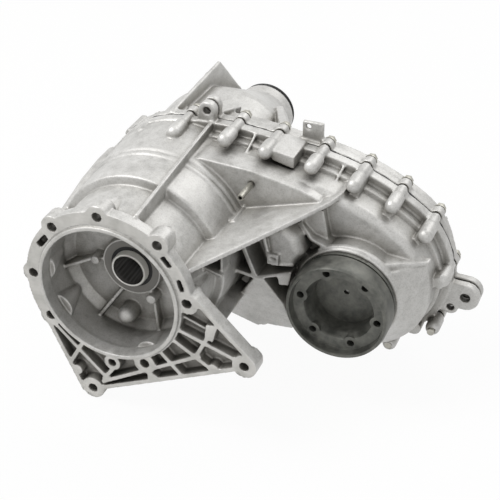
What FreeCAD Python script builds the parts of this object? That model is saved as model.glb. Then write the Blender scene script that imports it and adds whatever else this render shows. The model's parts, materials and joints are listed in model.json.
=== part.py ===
"""Chain-driven two-speed transfer case, in millimetres.

Frame: the origin is on the input axis at the adapter's front face, +Y points to
the rear of the vehicle, +X to the front output, +Z up.
"""
import FreeCAD, Part
import math
import os
import Sketcher

Vector = FreeCAD.Vector
Rotation = FreeCAD.Rotation
ALONG_Y = Rotation(Vector(1, 0, 0), -90)
UPRIGHT = Rotation()

# Driving dimensions
SIZES = {
    # Where the two shafts and the split face lie
    "front_axis_x": 214,
    "front_axis_z": -28,
    "split_y": 209,
    "gasket_thickness": 1.6,
    # Round adapter at the front
    "adapter_radius": 95,
    "adapter_depth": 14,
    "adapter_boss_radius": 12.5,
    "adapter_boss_depth": 20,
    "adapter_hole_radius": 5.25,
    "pilot_lip_radius": 79.5,
    "pilot_lip_height": 4,
    "bell_mouth_radius": 75,
    "bell_floor_y": 62,
    "foot_depth": 16,
    "foot_pocket_depth": 12,
    "foot_boss_depth": 20,
    "foot_ring_radius": 82,
    "foot_wall": 5,
    "foot_rib": 4.5,
    # Casting walls, and the chain case around both shafts
    "wall": 6,
    "left_radius": 103,
    "right_radius": 95,
    "roof_inset": 13,
    "ledge_inset": 9,
    "ledge_y": 184,
    "rim_depth": 12,
    "cover_y": 151,
    "panel_y": 140,
    "gear_bay_radius": 86,
    "bolt_boss_radius": 8,
    "bolt_boss_y": 166,
    "bolt_radius": 4,
    "rib": 4,
    # Rear case
    "rear_bay_radius": 82,
    "rear_bay_end": 304,
    "chain_bay_end": 240,
    "tail_radius": 38,
    "tail_end": 436,
    # Input shaft and its bearing
    "input_radius": 20,
    "input_nose_y": 45,
    "socket_radius": 17,
    "input_bearing_y": 66,
    "input_bearing_width": 18,
    "input_bearing_radius": 40,
    # Planetary gear set
    "tooth_module": 2.5,
    "gear_y": 94,
    "gear_width": 22,
    "planet_pin_radius": 5,
    # Range sleeve
    "sleeve_y": 112,
    "sleeve_groove_y": 148,
    "sleeve_groove_width": 5,
    # Shift rail and cam shaft
    "rail_x": -88,
    "rail_z": 34,
    "rail_radius": 6.5,
    "cam_radius": 9.5,
    "cam_pin_y": 183,
    "range_travel": 13,
    # Chain drive
    "chain_y": 177,
    "chain_width": 30,
    "sprocket_tip_radius": 55.2,
    "chain_inner_radius": 55.7,
    "chain_thickness": 8,
    # Main output shaft
    "output_radius": 16,
    "rear_bearing_y": 322,
    "rear_bearing_width": 17,
    "rear_bearing_radius": 36,
    "rear_seat_radius": 17.5,
    # Clutch pack
    "clutch_y": 216,
    "clutch_radius": 60,
    "clutch_plate_thickness": 2,
    "clutch_plate_pitch": 2.6,
    # Oil pump
    "pump_y": 288,
    "pump_radius": 44,
    "pump_offset": 2.5,
    # Front output
    "flange_radius": 56,
    "flange_y": 90,
    "flange_bolt_circle": 43,
    "flange_hole_radius": 4,
    "hub_radius": 25,
    "front_bearing_y": 147,
    "front_bearing_width": 19,
    "front_bearing_radius": 42.5,
    "front_seat_radius": 22.5,
    "stub_bearing_y": 224,
    "stub_bearing_width": 16,
    "stub_bearing_radius": 31,
    "stub_seat_radius": 15,
    # Gap between parts that turn past each other without touching
    "gap": 0.4,
}

SUN_TEETH = 33
PLANET_TEETH = 12
RING_TEETH = 57
PLANET_COUNT = 3
SPROCKET_TEETH = 36
CHAIN_LINKS = 82
PUMP_LOBES = 7
DOG_TEETH = 20

# Centres of the adapter's bolt holes round its face, as (x, z)
ADAPTER_HOLES = [(-7.3, 89.3), (-59.7, 65.5), (-87.1, 3.4), (-71.3, -46.6),
                 (36.8, -79.5), (87.5, 10.3), (57.7, 71.9)]
LOCATING_HOLE = (-1.7, -89.6)
FOOT_HOLES = [(-27.4, -131.5), (149.1, -50.7)]
FOOT_BOSS_RADII = [13, 13.5]
FOOT_OUTLINE = [(-84, -40), (-40.2, -138.7), (-27.4, -135.9), (149.1, -54.9), (160.5, -43), (98, 19), (0, 30)]
# Centre lines of the ribs that divide the foot, from (x, z) to (x, z)
FOOT_RIBS = [((-68, -56), (-11.3, -111)), ((-35, -72), (-55, -108)), ((-16, -120), (101, -51)),
             ((54, -57), (84, -88)), ((69, -38), (118, -68)), ((75, -24), (146, -47)),
             ((116, -12), (96, -53)), ((0, -96), (-14, -116)), ((40, -84), (43, -106))]
FOOT_PADS = [(-45, -112), (46, -97), (115.1, -64)]
RING_WINDOWS = [[(-69, 55), (-65, 50), (-75, 37), (-80, 42)],
                [(60.5, 58), (65, 61.5), (73, 51), (68.8, 48)],
                [(77.1, 35.7), (81.5, 38.1), (85.4, 24.7), (81, 22.3)]]

# Centres of the case bolts round the split, as (x, z)
CASE_BOLTS = [(-46.5, 83.5), (0, 103), (59, 106), (105, 101), (157, 94), (204, 82), (245, 64), (283, 38),
              (304, -16), (296, -88), (250, -119), (205, -126), (157, -119), (105, -114), (50, -109),
              (-4, -104), (-55, -88), (-92, -47), (-103, 4)]
# The y coordinate of each screw boss's rounded front end, less where it is hidden
SHORT_BOSSES = {0: 184, 6: 171, 7: 169, 8: 176, 9: 186, 10: 182}
DOWEL_CENTRES = [(-99, -25), (273, -97)]
# Screw centres of the shift motor's pad, from the shift shaft
MOTOR_SCREWS = [(-12.3, -15.4), (4.3, 22.5)]

EAR_TOP = (24, 118)
EAR_SIDE = (325, -50)
EAR_SIDE_SMALL = (310, -65.5)

doc = FreeCAD.newDocument("TransferCase")
sheet = doc.addObject("Spreadsheet::Sheet", "Sizes")
for row, (alias, number) in enumerate(SIZES.items(), start=1):
    sheet.set(f"A{row}", alias.replace("_", " "))
    sheet.set(f"B{row}", str(number))
    sheet.setAlias(f"B{row}", alias)
doc.recompute()


def written(number):
    """Returns a number or a Measure as text for a formula."""
    return number.formula if isinstance(number, Measure) else repr(float(number))


class Measure(float):
    """A length that remembers the sheet formula it came from."""

    def __new__(cls, number, formula):
        item = super().__new__(cls, number)
        item.formula = formula
        return item

    def __add__(self, other):
        return Measure(float(self) + float(other), f"({self.formula} + {written(other)})")

    def __radd__(self, other):
        return Measure(float(other) + float(self), f"({written(other)} + {self.formula})")

    def __sub__(self, other):
        return Measure(float(self) - float(other), f"({self.formula} - {written(other)})")

    def __rsub__(self, other):
        return Measure(float(other) - float(self), f"({written(other)} - {self.formula})")

    def __mul__(self, other):
        return Measure(float(self) * float(other), f"({self.formula} * {written(other)})")

    __rmul__ = __mul__

    def __truediv__(self, other):
        return Measure(float(self) / float(other), f"({self.formula} / {written(other)})")


class Sizes:
    """Reads a driving dimension from the sheet by its alias."""

    def __getattr__(self, alias):
        return Measure(float(sheet.get(alias)), "Sizes." + alias)


s = Sizes()


def bind(item, prop, amount):
    """Ties a property to the sheet, or sets it where the amount is a plain number."""
    if isinstance(amount, Measure):
        item.setExpression(prop, amount.formula)
    else:
        setattr(item, prop, float(amount))


def place(item, x, y, z, turn=UPRIGHT):
    """Sets an object's place and ties its coordinates to the sheet."""
    item.Placement = FreeCAD.Placement(Vector(float(x), float(y), float(z)), turn)
    for letter, amount in zip("xyz", (x, y, z)):
        if isinstance(amount, Measure):
            item.setExpression(".Placement.Base." + letter, amount.formula)


def rod(radius, length, x, y, z, turn=ALONG_Y):
    """A cylinder that starts at a point and runs to the rear unless it is turned."""
    item = doc.addObject("Part::Cylinder", "rod")
    bind(item, "Radius", radius)
    bind(item, "Height", length)
    place(item, x, y, z, turn)
    return item


def taper(front_radius, back_radius, length, x, y, z, turn=ALONG_Y):
    """A cone that starts at a point and runs to the rear unless it is turned."""
    item = doc.addObject("Part::Cone", "taper")
    bind(item, "Radius1", front_radius)
    bind(item, "Radius2", back_radius)
    bind(item, "Height", length)
    place(item, x, y, z, turn)
    return item


def ball(radius, x, y, z):
    item = doc.addObject("Part::Sphere", "ball")
    bind(item, "Radius", radius)
    place(item, x, y, z)
    return item


def block(width, depth, height, x, y, z, turn=UPRIGHT):
    """A box with its low corner at a point."""
    item = doc.addObject("Part::Box", "block")
    bind(item, "Length", width)
    bind(item, "Width", depth)
    bind(item, "Height", height)
    place(item, x, y, z, turn)
    return item


def join(items, label="joined"):
    item = doc.addObject("Part::MultiFuse", label)
    item.Shapes = items
    item.Refine = False
    return item


def cut(base, tools, label="trimmed"):
    item = doc.addObject("Part::Cut", label)
    item.Base = base
    item.Tool = tools[0] if len(tools) == 1 else join(tools)
    item.Refine = False
    return item


def shared(first, second, label="shared"):
    item = doc.addObject("Part::Common", label)
    item.Base = first
    item.Tool = second
    item.Refine = False
    return item


def group(items, label):
    """Several separate solids in one node."""
    item = doc.addObject("Part::Compound", label)
    item.Links = items
    return item


def tube(outer, inner, length, x, y, z, label="tube"):
    hole = rod(inner, length + 2, x, y - 1, z)
    return cut(rod(outer, length, x, y, z), [hole], label)


def polygon(points, y):
    """A closed wire through (x, z) points on a plane of constant y."""
    corners = [Vector(float(x), float(y), float(z)) for x, z in points]
    return Part.makePolygon(corners + corners[:1])


def push(wire, direction, forward, backward=0, label="pushed"):
    """Pushes a flat wire into a solid along a direction."""
    profile = doc.addObject("Part::Feature", "outline")
    profile.Shape = Part.Face(wire)
    item = doc.addObject("Part::Extrusion", label)
    item.Base = profile
    item.DirMode = "Custom"
    item.Dir = direction
    item.Solid = True
    bind(item, "LengthFwd", forward)
    bind(item, "LengthRev", backward)
    return item


def prism(points, y, depth, label="prism"):
    return push(polygon(points, y), Vector(0, 1, 0), depth, 0, label)


def web(corners, thickness, label="web"):
    """A flat plate through 3-D corners, half its thickness to each side."""
    points = [Vector(*[float(part) for part in corner]) for corner in corners]
    normal = (points[1] - points[0]).cross(points[2] - points[0]).normalize()
    flat = [point - normal * (point - points[0]).dot(normal) for point in points]
    return push(Part.makePolygon(flat + flat[:1]), normal, thickness / 2, thickness / 2, label)


def rib_back(start, end, back_y, thickness):
    """A plate whose front edge joins two points and which runs back to a plane."""
    return web([start, end, (end[0], back_y, end[2]), (start[0], back_y, start[2])], thickness)


def bar(start, end, width, y, depth):
    """A straight rib of constant width between two (x, z) points."""
    along = Vector(end[0] - start[0], 0, end[1] - start[1])
    angle = math.degrees(math.atan2(along.z, along.x))
    turn = Rotation(Vector(0, 1, 0), -angle)
    corner = Vector(start[0], 0, start[1]) + turn.multVec(Vector(0, 0, -width / 2))
    return block(along.Length, depth, width, corner.x, y, corner.z, turn)


def turned(profile, label, x=0, y=0, z=0):
    """A body turned about the Y direction from (radius, distance back) corners."""
    body = doc.addObject("PartDesign::Body", label)
    plane = [entry for entry in body.Origin.OriginFeatures if entry.Role == "XY_Plane"][0]
    sketch = body.newObject("Sketcher::SketchObject", "profile")
    sketch.AttachmentSupport = [(plane, "")]
    sketch.MapMode = "FlatFace"
    corners = [Vector(float(radius), float(back), 0) for radius, back in profile]
    count = len(corners)
    for index in range(count):
        sketch.addGeometry(Part.LineSegment(corners[index], corners[(index + 1) % count]), False)
    for index in range(count):
        following = (index + 1) % count
        sketch.addConstraint(Sketcher.Constraint("Coincident", index, 2, following, 1))
    for index, (radius, back) in enumerate(profile):
        pin_down(sketch, "DistanceX", index, radius)
        pin_down(sketch, "DistanceY", index, back)
    revolution = body.newObject("PartDesign::Revolution", "turned")
    revolution.Profile = sketch
    revolution.ReferenceAxis = (sketch, ["V_Axis"])
    revolution.Angle = 360
    sketch.Visibility = False
    place(body, x, y, z)
    return body


def pin_down(sketch, kind, index, amount):
    """Fixes one coordinate of a corner, by the sheet where the amount came from it."""
    if abs(float(amount)) < 1e-9:
        axis = -2 if kind == "DistanceX" else -1
        sketch.addConstraint(Sketcher.Constraint("PointOnObject", index, 1, axis))
        return
    number = sketch.addConstraint(Sketcher.Constraint(kind, -1, 1, index, 1, float(amount)))
    if isinstance(amount, Measure):
        sketch.setExpression(f"Constraints[{number}]", amount.formula)


def toothed(teeth, root, tip, root_share, tip_share, y, x=0, z=0, phase=0):
    """A closed wire of straight-sided teeth; a share is the part of the pitch that is tooth."""
    pitch = 2 * math.pi / teeth
    points = []
    for index in range(teeth):
        middle = phase + index * pitch
        for radius, offset in ((root, -root_share), (tip, -tip_share), (tip, tip_share), (root, root_share)):
            angle = middle + offset * pitch / 2
            points.append((x + radius * math.cos(angle), z + radius * math.sin(angle)))
    return polygon(points, y)


def gear(teeth, root, tip, root_share, tip_share, y, width, x=0, z=0, phase=0, label="teeth"):
    wire = toothed(teeth, root, tip, root_share, tip_share, y, x, z, phase)
    return push(wire, Vector(0, 1, 0), width, 0, label)


def arc(first, middle, last):
    points = [Vector(point[0], 0, point[1]) for point in (first, middle, last)]
    return Part.Arc(*points).toShape()


def case_outline(inset, y):
    """The outline of the chain case, moved inwards by an inset, on a plane of constant y."""
    left, right = s.left_radius, s.right_radius
    front_x, front_z = float(s.front_axis_x), float(s.front_axis_z)
    distance = math.hypot(front_x, front_z)
    along = (front_x / distance, front_z / distance)
    lean = (float(left) - float(right)) / distance
    drop = math.sqrt(1 - lean ** 2)
    normal = (along[0] * lean + along[1] * drop, along[1] * lean - along[0] * drop)
    low_left = (left * normal[0], left * normal[1])
    low_right = (front_x + right * normal[0], front_z + right * normal[1])
    top_left = (left * math.cos(math.radians(98.5)), left * math.sin(math.radians(98.5)))
    side = math.radians(56.4)
    top_right = (front_x + right * math.cos(side), front_z + right * math.sin(side))
    shoulder = (127, 97.4)
    edges = [arc(top_left, (-float(left), 0), low_left),
             Part.LineSegment(Vector(low_left[0], 0, low_left[1]), Vector(low_right[0], 0, low_right[1])).toShape(),
             arc(low_right, (front_x + right, front_z), top_right),
             arc(top_right, (206, 81.6), shoulder),
             arc(shoulder, (60, 105.8), top_left)]
    wire = Part.Wire(edges)
    if float(inset) > 0:
        wire = Part.Wire(wire.makeOffset2D(-float(inset)).Edges)
    wire.translate(Vector(0, float(y), 0))
    return wire


def case_prism(inset, y, depth):
    return push(case_outline(inset, y), Vector(0, 1, 0), depth)


def rounded_block(wire, depth, radius, label="rounded"):
    """A prism pushed to the rear from a flat wire, with its front edge rounded."""
    plain = Part.Face(wire).extrude(Vector(0, float(depth), 0))
    front_y = wire.BoundBox.YMin
    front = [edge for edge in plain.Edges if abs(edge.BoundBox.YMax - front_y) < 1e-4]
    item = doc.addObject("Part::Feature", label)
    item.Shape = plain.makeFillet(float(radius), front)
    return item


def boss_finger(x, z, radius, start_y, end_y):
    """A cast screw boss with a thick rounded front end and a slimmer neck."""
    slim = radius - 2.2
    return [ball(radius, x, start_y, z), rod(radius, 18, x, start_y, z), taper(radius, slim, 5, x, start_y + 18, z),
            rod(slim, end_y - start_y - 20, x, start_y + 20, z)]


def ear(x, z, radius, root, y, depth):
    """A lug with a round end, joined back to the case at a root point."""
    return [rod(radius, depth, x, y, z), bar(root, (x, z), 2 * radius, y, depth)]


def case_ears(y, depth):
    """The two hanging lugs beside the split, alike on both halves."""
    return (ear(EAR_TOP[0], EAR_TOP[1], 10, (22, 98), y, depth)
            + ear(EAR_SIDE[0], EAR_SIDE[1], 15.5, (290, -48), y, depth)
            + ear(EAR_SIDE_SMALL[0], EAR_SIDE_SMALL[1], 8.5, (288, -60), y, depth))


def ear_holes(y, depth):
    return [rod(4.5, depth, EAR_TOP[0], y, EAR_TOP[1]), rod(5.5, depth, EAR_SIDE[0], y, EAR_SIDE[1]),
            rod(4.25, depth, EAR_SIDE_SMALL[0], y, EAR_SIDE_SMALL[1])]


def foot_lattice():
    """The triangular foot below the adapter: a tray of walls, ribs and pads open to the front."""
    hull = prism(FOOT_OUTLINE, 0, s.foot_depth)
    outline = polygon(FOOT_OUTLINE, -1)
    inner = Part.Wire(outline.makeOffset2D(-float(s.foot_wall)).Edges)
    pocket = cut(push(inner, Vector(0, 1, 0), s.foot_pocket_depth + 1), [rod(s.foot_ring_radius, 60, 0, -10, 0)])
    upper = block(300, 60, 120, -100, -5, 8)
    ring = rod(s.adapter_radius, s.adapter_depth, 0, 0, 0)
    tray = cut(join([hull, ring]), [cut(pocket, [upper])])
    ribs = [bar(start, end, float(s.foot_rib), 0, s.foot_depth) for start, end in FOOT_RIBS]
    pads = [rod(6, s.foot_depth, x, 0, z) for x, z in FOOT_PADS]
    gusset = prism([(108, -10), (121, -8), (115, -30), (106, -26)], 0, s.foot_depth)
    shelf_rib = bar((80, -9.6), (112, -21), 3, 5, 10)
    filling = shared(join(ribs + pads + [gusset, shelf_rib]), prism(FOOT_OUTLINE, 0, s.foot_depth))
    bosses = [rod(radius, s.foot_boss_depth, x, 0, z) for (x, z), radius in zip(FOOT_HOLES, FOOT_BOSS_RADII)]
    brace = web([(80, 12, -46), (98, 12, -56.5), (98, 140, -56.5), (80, 140, -46)], 6)
    return [tray, filling, brace] + bosses


def front_walls():
    """Everything of the front casting that is outside its hollows."""
    lip = rod(s.pilot_lip_radius, s.pilot_lip_height + 1, 0, -s.pilot_lip_height, 0)
    bosses = [rod(s.adapter_boss_radius, s.adapter_boss_depth, x, 0, z) for x, z in ADAPTER_HOLES]
    bosses.append(rod(9.5, s.adapter_boss_depth, LOCATING_HOLE[0], 0, LOCATING_HOLE[1]))
    barrel = turned([(0, 0), (85, 0), (86, 62), (94.5, 64.5), (95.5, 66), (97, 109), (98.5, 111), (98.5, 115),
                     (97.6, 117), (99.5, 121), (101.5, s.split_y - 12), (0, s.split_y - 12)], "barrel", y=12)
    cover = rounded_block(case_outline(s.roof_inset, s.cover_y), s.split_y - s.cover_y, 9)
    ledge = case_prism(s.ledge_inset, s.ledge_y, s.split_y - s.ledge_y)
    rim = case_prism(0, s.split_y - s.rim_depth, s.rim_depth)
    panel = prism([(30, 93), (42, 94), (99, 91), (154, 80), (176, 72), (173, 64), (83, 37), (40, 50)],
                  s.panel_y, 30)
    rail_tunnel = [taper(4, 14, 74, s.rail_x, 60, s.rail_z), taper(14, 17, 42, s.rail_x, 134, s.rail_z),
                   rod(17, 24, s.rail_x, 176, s.rail_z), rod(14, s.split_y - 200, s.rail_x, 200, s.rail_z)]
    return [lip] + bosses + [barrel, cover, ledge, rim, panel] + rail_tunnel + foot_lattice()


def front_fins():
    """The upright fin on top, the sloping shelf and the ribs below it."""
    fin_x = 30
    fin = web([(fin_x, 13, 78), (fin_x, 13, 93.5), (fin_x, 92, 100), (fin_x, 181, 106), (fin_x, 207, 108),
               (fin_x, 207, 86)], 4.5)
    shelf = web([(x, y, 40 + 0.306 * (x - 87)) for x, y in
                 ((84, 14), (122, 58), (166, 111), (188, 140), (196, 160), (198, 184), (110, 184), (55, 64),
                  (62, 14))], 5)
    node = (117, 110, -20)
    back = 160
    ribs = [rib_back((90, 110, 46), node, back, 5),
            rib_back((80, 105, -11), node, back, s.rib),
            rib_back((80, 50, 22), (104, 50, 15), 75, s.rib),
            rib_back((101, 56, 42), (101, 56, 12), 80, 3),
            rib_back(node, (157, 112, -6), back, s.rib),
            rib_back((121, 112, 50), (131, 110, 11), back, s.rib),
            rib_back((144, 110, 3), (159, 114, 3), back, 3),
            rib_back((190, 127, 24), (171, 130, 29), back, s.rib),
            rib_back((171, 130, 29), (157, 136, 43), back, s.rib),
            rib_back((157, 136, 43), (160, 150, 62), back, s.rib)]
    pad = cut(block(13, 50, 13, 130.5, 108, 2.5), [block(7, 3, 4, 133.5, 107, 8)])
    facet = [(115, -20), (127, -20), (144, -55), (147, -77), (150, -98), (118, -101), (107, -108), (76, -95),
             (85.5, -74), (97, -49)]
    front = [Vector(x, 110 + 0.37 * (-20 - z), z) for x, z in facet]
    wedge = push(Part.makePolygon(front + front[:1]), Vector(0, 1, 0), 60)
    patch = prism([(141, -13), (143, -24), (154, -22), (157, -9)], 112, 40)
    bulge = rounded_block(polygon([(126, 42), (146, 49), (161, 36), (169, 18), (160, 3), (131, -7)], 113), 50, 9)
    panel_back = prism([(86, 60), (180, 60), (190, 10), (150, -30), (118, -30), (84, -20)], 141, 30)
    return [fin, shelf, pad, wedge, patch, bulge, panel_back] + ribs


def output_housing():
    """The housing round the front output bearing, with the bead above it."""
    x, z = s.front_axis_x, s.front_axis_z
    nose = rod(57.5, s.cover_y + 8 - 124, x, 124, z)
    skirt = taper(57.5, 80, 29, x, 125, z)
    below = block(180, 60, 130, 150, 110, -119)
    bead = tube(60, 56, 6, x, 127, z)
    sector = prism([(214, -28), (334, 10), (334, 90), (150, 90), (176, 26)], 112, 50)
    side_lip = rib_back((249, 128, 16), (292, 156, 13), 165, 4.5)
    return [nose, shared(skirt, below), shared(bead, sector), side_lip]


def flange_details(front_y, back_y):
    """Ramps, fins and the cast pad between the screw bosses of the front half."""
    pads = [prism([(112, 92), (112, 104), (137, 100), (137, 86)], 168, s.split_y - 168)]
    fins = [rib_back((81, 172, 92), (82, 197, 103), back_y, 3),
            rib_back((181, 178, 77), (183, 197, 86), back_y, 3)]
    ramps = []
    for bx, bz in CASE_BOLTS[5:9]:
        inward = Vector(float(s.front_axis_x) - bx, 0, float(s.front_axis_z) - bz).normalize()
        side = Vector(-inward.z, 0, inward.x)
        tip = Vector(bx, 0, bz) + inward * 26
        foot = [Vector(bx, 0, bz) + side * 8, tip, Vector(bx, 0, bz) - side * 8]
        ramps.append(prism([(point.x, point.z) for point in foot], front_y, s.split_y - front_y))
    return pads + fins + ramps


def front_hollows():
    """The hollows of the front casting."""
    floor = s.bell_floor_y
    bell = turned([(0, 0), (s.bell_mouth_radius, 0), (s.bell_mouth_radius, 17), (77, 22), (80, floor - 4),
                   (72, floor + 6), (0, floor + 6)], "bell_hollow", y=-6)
    gear_bay = join([rod(s.gear_bay_radius, s.split_y, 0, s.gear_y, 0), rod(90, s.split_y, 0, 126, 0)])
    bearing_bay = rod(71, 40, 0, floor + s.wall, 0)
    chain_bay = case_prism(s.roof_inset + s.wall, s.cover_y + s.wall, s.split_y)
    fork_bay = join([rod(11, 50, s.rail_x, 134, s.rail_z), rod(10.2, 26, s.rail_x, 178, s.rail_z)])
    return [bell, gear_bay, bearing_bay, chain_bay, fork_bay]


def bell_details():
    """The bearing boss, ribs and bosses on the bell's floor, and the bulges of its wall."""
    floor = s.bell_floor_y
    nose = rod(33.5, 18, 0, 52, 0)
    seat = rod(47, 24, 0, floor + 2, 0)
    inside = turned([(0, 0), (84, 0), (85, 52), (0, 52)], "neck_inside", y=14)
    ribs = [rib_back((-12, 56, -30), (-44, 44, -76), 66, 4), rib_back((-32, 56, 5), (-80, 44, -16), 66, 4),
            rib_back((22, 54, -26), (30, 50, -78), 66, 3.5), rib_back((20, 54, 26), (56, 48, 58), 66, 4)]
    bosses = [rod(5, 20, -40, 46, 2), rod(5.5, 20, 24, 46, -32)]
    dome = [rod(10, 18, -6, 48, -60), ball(10, -6, 48, -60)]
    bulges = [taper(17.5, 7, 40, x, 15, z) for x, z in ADAPTER_HOLES]
    return [nose, seat, shared(join(ribs + bosses + dome + bulges), inside)]


def adapter_holes():
    """Holes, reliefs and windows in the adapter's face."""
    floor = s.bell_floor_y
    holes = [rod(s.adapter_hole_radius, 30, x, -5, z) for x, z in ADAPTER_HOLES]
    holes += [rod(s.adapter_hole_radius, s.foot_boss_depth + 4, x, -2, z) for x, z in FOOT_HOLES]
    holes += [rod(4.5, 8, LOCATING_HOLE[0], -0.5, LOCATING_HOLE[1]), rod(2, 14, LOCATING_HOLE[0] - 2, -1, -91.6)]
    reliefs = []
    for x, z in ADAPTER_HOLES:
        reliefs.append(taper(12.5, 3.5, 40, x, s.adapter_boss_depth, z))
    windows = [prism(points, -1, 11) for points in RING_WINDOWS]
    return holes + reliefs + windows


def front_bores():
    """Bores for the bearings, seals, rail, screws and dowels of the front casting."""
    x, z = s.front_axis_x, s.front_axis_z
    bores = [rod(31.5, 12, 0, 51, 0), rod(27, 8, 0, 61, 0),
             rod(s.input_bearing_radius, 40, 0, s.input_bearing_y, 0),
             rod(46, 14, x, 120, z), rod(36, 14, x, 132, z),
             rod(s.front_bearing_radius, 30, x, s.front_bearing_y - 1, z),
             rod(s.rail_radius + 0.05, 120, s.rail_x, 99.5, s.rail_z),
             rod(3, 40, 100, 136, 75)]
    for bx, bz in CASE_BOLTS:
        bores.append(rod(s.bolt_radius, s.split_y - s.bolt_boss_y - 6, bx, s.bolt_boss_y + 6, bz))
    for dx, dz in DOWEL_CENTRES:
        bores.append(rod(4, 14, dx, s.split_y - 12, dz))
    return bores + ear_holes(190, 40)


def make_front_case():
    fingers = []
    for index, (bx, bz) in enumerate(CASE_BOLTS):
        start = SHORT_BOSSES.get(index, s.bolt_boss_y)
        fingers += boss_finger(bx, bz, s.bolt_boss_radius, start, s.split_y)
    dowel_bosses = [rod(9, 20, dx, s.split_y - 20, dz) for dx, dz in DOWEL_CENTRES]
    rim_details = (flange_details(s.bolt_boss_y + 2, s.split_y) + fingers + dowel_bosses
                   + case_ears(199, s.split_y - 199))
    solid = join([join(front_walls()), join(front_fins()), join(output_housing()), join(rim_details)])
    shell = cut(solid, front_hollows())
    return cut(join([shell] + bell_details()), adapter_holes() + front_bores(), "front_case")


def make_rear_case():
    x, z = s.front_axis_x, s.front_axis_z
    face = s.split_y + s.gasket_thickness
    rim = case_prism(0, face, s.rim_depth)
    body = case_prism(s.ledge_inset, face, s.chain_bay_end + s.wall - face)
    shell = turned([(0, 0), (95, 0), (92, 28), (91, 60), (91, 96), (88, 106), (52, 176), (43, 196),
                    (s.tail_radius, 204), (s.tail_radius, s.tail_end - 214), (s.tail_radius - 2, s.tail_end - 212),
                    (0, s.tail_end - 212)], "rear_shell", y=212)
    stub_boss = rod(40, 42, x, 212, z)
    stub_cap = taper(40, 34, 6, x, 254, z)
    rail_boss = rod(14, s.rim_depth, s.rail_x, face, s.rail_z)
    motor_pad = [rod(13.5, 52, s.rail_x, face, s.rail_z)]
    for dx, dz in MOTOR_SCREWS:
        motor_pad += [rod(6, 40, s.rail_x + dx, face + 12, s.rail_z + dz),
                      bar((float(s.rail_x), float(s.rail_z)), (float(s.rail_x) + dx, float(s.rail_z) + dz), 10,
                          face + 12, 40)]
    fin = web([(-25, 212, 84), (-25, 212, 102), (-22, 340, 108), (-8, 412, 34), (-10, 405, 26), (-25, 300, 60)], 5)
    strap = web([(107, 220, 103), (55, 340, 64), (55, 340, 30), (107, 220, 60)], 9)
    small_fin = web([(28, 216, 96), (30, 216, 110), (38, 262, 98), (34, 262, 78)], 4)
    radial = [rib_back((x + 34 * math.cos(a), 230, z + 34 * math.sin(a)),
                       (x + 84 * math.cos(a), 230, z + 84 * math.sin(a)), 252, 4)
              for a in [math.radians(step) for step in (-150, -105, -60, -15, 30, 75)]]
    bridge = [rib_back((80, 232, 40), (185, 232, -6), 250, 5), rib_back((82, 232, -30), (176, 232, -42), 250, 5)]
    sump = join([rod(16, 34, 23, face, -104), rod(13, 22, 23, 228, -124, UPRIGHT)])
    fill_boss = rod(15, 16, 120, 238, 20)
    bosses = [rod(s.bolt_boss_radius - 1, s.rim_depth, bx, face, bz) for bx, bz in CASE_BOLTS]
    bosses += [rod(9, s.rim_depth, dx, face, dz) for dx, dz in DOWEL_CENTRES]
    tab = cut(block(24, 5, 22, 128, face + 6, 96), [rod(3, 9, 135, face + 4, 112)])
    lugs = case_ears(face + 2, 9)
    rim_tail = tube(40, 34, 8, 0, 398, 0)
    solid = join([rim, body, shell, stub_boss, stub_cap, rail_boss, fin, strap, small_fin,
                  sump, fill_boss, tab, rim_tail] + motor_pad + radial + bridge + bosses + lugs)
    hollow = [case_prism(s.roof_inset + s.wall, face - 1, s.chain_bay_end - face + 1),
              rod(s.rear_bay_radius, s.rear_bay_end - face + 1, 0, face - 1, 0),
              rod(s.rear_bearing_radius, 40, 0, s.rear_bearing_y + s.rear_bearing_width - 40, 0),
              taper(33, 25, 48, 0, 338, 0), tube(74, 47, 20, 0, 303, 0),
              rod(22, 60, 0, 380, 0), rod(31, 20, 0, s.tail_end - 10, 0),
              rod(s.stub_bearing_radius, 30, x, s.stub_bearing_y + s.stub_bearing_width - 30, z),
              rod(24, 14, x, s.stub_bearing_y + s.stub_bearing_width - 1, z),
              rod(s.rail_radius + 0.05, 80, s.rail_x, face - 1, s.rail_z),
              rod(11, 10, s.rail_x, 254, s.rail_z), rod(9, 30, s.rail_x, 260, s.rail_z),
              rod(7, 60, 23, 228, -127, UPRIGHT),
              rod(9, 40, 120, 226, 20)]
    for dx, dz in MOTOR_SCREWS:
        hollow.append(rod(2.5, 30, s.rail_x + dx, 244, s.rail_z + dz))
    for bx, bz in CASE_BOLTS:
        hollow.append(rod(s.bolt_radius + 0.4, s.rim_depth + 4, bx, face - 2, bz))
        hollow.append(rod(8, 30, bx, face + s.rim_depth, bz))
    for dx, dz in DOWEL_CENTRES:
        hollow.append(rod(4, 10, dx, face - 1, dz))
    hollow += ear_holes(face - 1, 16)
    return cut(solid, hollow, "rear_case")


def make_gasket():
    """The bead of sealant between the halves, a flat ring set back from the edge."""
    outer = join([case_prism(0.8, s.split_y, s.gasket_thickness),
                  rod(13.2, s.gasket_thickness, s.rail_x, s.split_y, s.rail_z)])
    inner = case_prism(s.ledge_inset + 3, s.split_y - 1, s.gasket_thickness + 2)
    holes = [rod(s.bolt_radius + 0.5, 6, bx, s.split_y - 3, bz) for bx, bz in CASE_BOLTS]
    holes += [rod(4.2, 6, dx, s.split_y - 3, dz) for dx, dz in DOWEL_CENTRES]
    holes.append(rod(8, 6, s.rail_x, s.split_y - 3, s.rail_z))
    return cut(outer, [inner] + holes, "case_gasket")


def hexagon(across, x, z, y):
    points = [(x + across / math.sqrt(3) * math.cos(math.radians(60 * k)),
               z + across / math.sqrt(3) * math.sin(math.radians(60 * k))) for k in range(6)]
    return polygon(points, y)


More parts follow.
